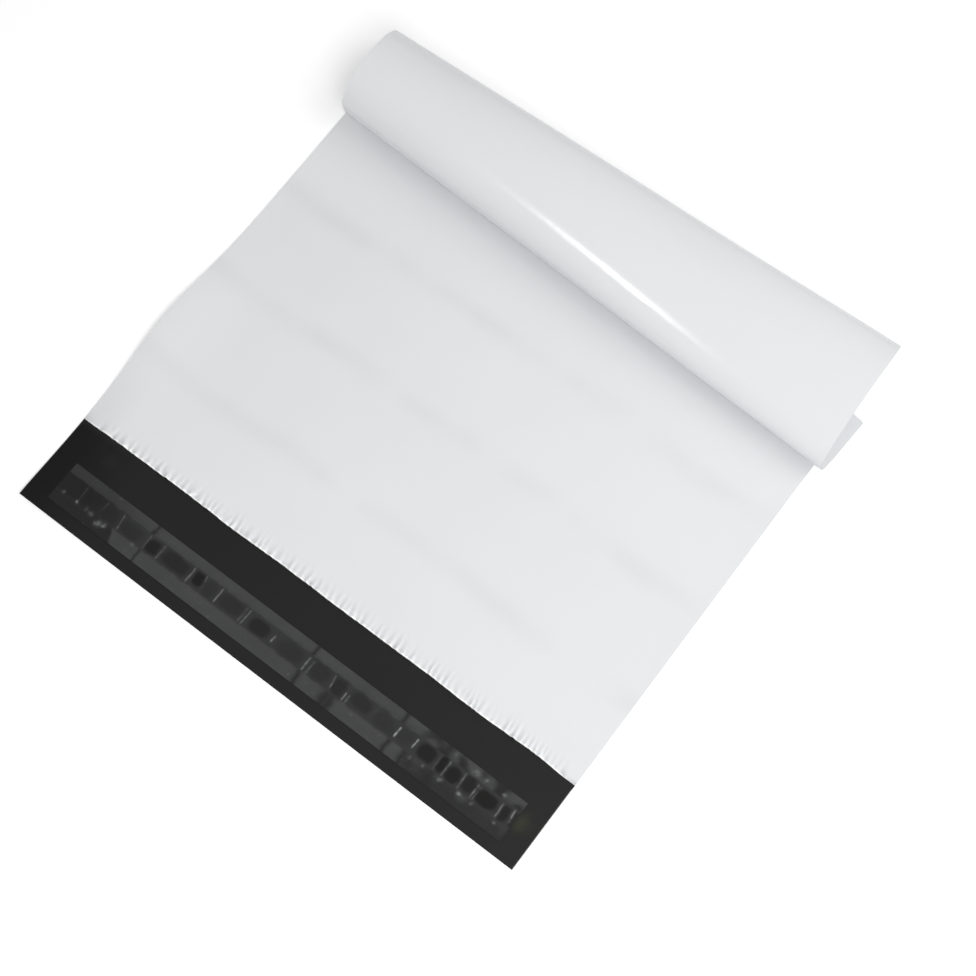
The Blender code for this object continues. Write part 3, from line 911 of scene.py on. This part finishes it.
def liner_material(settings, relief):
    """Clear film over black, with painted reflection: dark where it touches the glue, lighter over
    air, and painted highlights and glints at its creases.
    """
    finish = settings.finish
    material, shader = film_material("clear_liner", finish.glue, finish.liner_roughness, relief,
                                     gloss=0.18, peel=0.0015, wear=0.2, tint=1.3)
    # Lay the painted reflection, highlights and glints over the glue's colour
    overlay(material.node_tree, shader, "painted_reflection_and_wear", finish.painted_reflection_and_wear, (-250, 500))
    return material


# Operators

class MailerOperator(bpy.types.Operator):
    """Common parts of the operators."""
    bl_options = {"REGISTER", "UNDO"}

    @staticmethod
    def place(piece, node, slot):
        """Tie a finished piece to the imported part."""
        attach(piece, "root")
        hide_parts(node)


class MAILER_OT_film(MailerOperator):
    """Make the folded and welded film bag with its flap"""
    bl_idname = "mailer.film"
    bl_label = "Film bag"

    def execute(self, context):
        settings = context.scene.mailer
        finish = settings.finish
        relief = bpy.data.node_groups["film_relief"]
        # Painted shade brings the white film to 0.72 of its colour and the black film to 0.1 of it
        white, _ = film_material("white_film", finish.white, finish.white_roughness, relief,
                                 gloss=0.5, peel=0.0024, wear=0.5, tint=0.955,
                                 edge=finish.mouth_highlight, painted_shade=0.72)
        black, _ = film_material("black_film", finish.black, finish.black_roughness, relief,
                                 gloss=0.27, peel=0.0018, wear=0.7, tint=1.4,
                                 edge=finish.cut_black, painted_shade=0.1)
        piece = build_film(settings, (white, black))
        self.place(piece, "mailer_film", "white_film")
        return {"FINISHED"}


class MAILER_OT_glue(MailerOperator):
    """Make the ribbon of glue on the flap"""
    bl_idname = "mailer.glue"
    bl_label = "Glue strip"

    def execute(self, context):
        finish = context.scene.mailer.finish
        relief = bpy.data.node_groups["film_relief"]
        glue, _ = film_material("hot_melt_glue", finish.glue, finish.glue_roughness, relief,
                                gloss=0.1, peel=0.003, wear=0.2, tint=1.3)
        piece = build_glue(context.scene.mailer, (glue,))
        self.place(piece, "adhesive_strip", "hot_melt_glue")
        return {"FINISHED"}


class MAILER_OT_liner(MailerOperator):
    """Make the clear liner over the glue"""
    bl_idname = "mailer.liner"
    bl_label = "Release liner"

    def execute(self, context):
        settings = context.scene.mailer
        clear = liner_material(settings, bpy.data.node_groups["film_relief"])
        piece = build_liner(settings, (clear,))
        self.place(piece, "release_liner", "clear_liner")
        return {"FINISHED"}


def floor_material(base, strength):
    """A pale floor that looks white to the camera and still takes the shadow."""
    material = bpy.data.materials.new("studio_floor")
    material.use_nodes = True
    tree = material.node_tree
    shader = tree.nodes["Principled BSDF"]
    shader.inputs["Base Color"].default_value = (*base, 1.0)
    shader.inputs["Roughness"].default_value = 0.9
    shader.inputs["Specular IOR Level"].default_value = 0.1
    rays = new_node(tree, "ShaderNodeLightPath", (-600, 0))
    glow = new_node(tree, "ShaderNodeMath", (-350, 0), operation="MULTIPLY")
    glow.inputs[1].default_value = strength
    tree.links.new(rays.outputs["Is Camera Ray"], glow.inputs[0])
    light = new_node(tree, "ShaderNodeEmission", (-100, -200))
    tree.links.new(glow.outputs[0], light.inputs["Strength"])
    both = new_node(tree, "ShaderNodeAddShader", (300, 0))
    tree.links.new(shader.outputs[0], both.inputs[0])
    tree.links.new(light.outputs[0], both.inputs[1])
    tree.links.new(both.outputs[0], tree.nodes["Material Output"].inputs["Surface"])
    return material


def soft_world(strength):
    """Even light from all round, white where the camera looks past the floor."""
    world = bpy.data.worlds.new("soft_sky")
    bpy.context.scene.world = world
    world.use_nodes = True
    tree = world.node_tree
    background = tree.nodes["Background"]
    background.inputs["Color"].default_value = (1.0, 1.0, 1.0, 1.0)
    rays = new_node(tree, "ShaderNodeLightPath", (-600, 0))
    level = new_node(tree, "ShaderNodeMapRange", (-300, 0), to_min=strength, to_max=1.0)
    tree.links.new(rays.outputs["Is Camera Ray"], level.inputs["Value"])
    tree.links.new(level.outputs["Result"], background.inputs["Strength"])


def area_light(name, place, aim, size, watts):
    """A soft box that faces a point, its long side along the bag's mouth."""
    data = bpy.data.lights.new(name, "AREA")
    data.shape = "RECTANGLE"
    data.size, data.size_y = size
    data.energy = watts
    lamp = bpy.data.objects.new(name, data)
    away = (Vector(place) - Vector(aim)).normalized()
    side = (Vector((1, 0, 0)) - away * away.x).normalized()
    axes = Matrix((side, away.cross(side), away)).transposed()
    lamp.matrix_world = Matrix.Translation(place) @ axes.to_4x4()
    bpy.context.collection.objects.link(lamp)


class MAILER_OT_stage(MailerOperator):
    """Make the floor, the lights and the camera"""
    bl_idname = "mailer.stage"
    bl_label = "Stage"

    def execute(self, context):
        stage = context.scene.mailer.stage
        film = context.scene.mailer.film
        bpy.ops.object.select_all(action="DESELECT")
        bpy.ops.mesh.primitive_plane_add(size=8.0, location=(0, 0, -0.0002))
        floor = context.object
        floor.name = "floor"
        bpy.ops.object.transform_apply(location=True, rotation=True, scale=True)
        floor.data.materials.append(floor_material(stage.floor, stage.glow))
        soft_world(stage.sky)
        mouth = Vector((film_low.x + film.width / 2, film_low.y + film.flap, 0.0))
        for name, place, target, size, watts in LAMPS:
            area_light(name, mouth + Vector(place), mouth + Vector(target), size, watts)

        back = Vector((math.sin(stage.azimuth) * math.cos(stage.elevation),
                       -math.cos(stage.azimuth) * math.cos(stage.elevation),
                       math.sin(stage.elevation)))
        aim = mouth + Vector((stage.aim_along, stage.aim_in, 0.0))
        data = bpy.data.cameras.new("camera")
        data.lens = stage.lens
        data.sensor_width = stage.sensor
        camera = bpy.data.objects.new("camera", data)
        turn = (-back).to_track_quat("-Z", "Y").to_matrix().to_4x4()
        spin = Matrix.Rotation(stage.tilt, 4, "Z")
        camera.matrix_world = Matrix.Translation(aim + back * stage.distance) @ turn @ spin
        context.collection.objects.link(camera)
        context.scene.camera = camera
        context.scene.view_settings.view_transform = "Standard"
        return {"FINISHED"}


class MAILER_PT_panel(bpy.types.Panel):
    """Lists the pieces in the sidebar"""
    bl_idname = "MAILER_PT_panel"
    bl_label = "Mailer bag"
    bl_space_type = "VIEW_3D"
    bl_region_type = "UI"
    bl_category = "Mailer"

    def draw(self, context):
        settings = context.scene.mailer
        for operator, group in (("mailer.film", settings.film), ("mailer.glue", settings.finish),
                                ("mailer.liner", settings.liner), ("mailer.stage", settings.stage)):
            self.layout.operator(operator)
            for name in group.__annotations__:
                self.layout.prop(group, name)


classes = (FilmSizes, RollSizes, PuckerSizes, LinerSizes, Finishes, StageSettings, MailerSettings,
           MAILER_OT_film, MAILER_OT_glue, MAILER_OT_liner, MAILER_OT_stage, MAILER_PT_panel)


def register():
    """Make the classes and the settings known."""
    for each in classes:
        bpy.utils.register_class(each)
    bpy.types.Scene.mailer = PointerProperty(type=MailerSettings)


def unregister():
    """Take them away again."""
    del bpy.types.Scene.mailer
    for each in reversed(classes):
        bpy.utils.unregister_class(each)


def main():
    """Build the bag and its stage."""
    register()
    film_relief_group()
    bpy.ops.mailer.stage()
    bpy.ops.mailer.film()
    bpy.ops.mailer.glue()
    bpy.ops.mailer.liner()


if __name__ == "__main__":
    main()
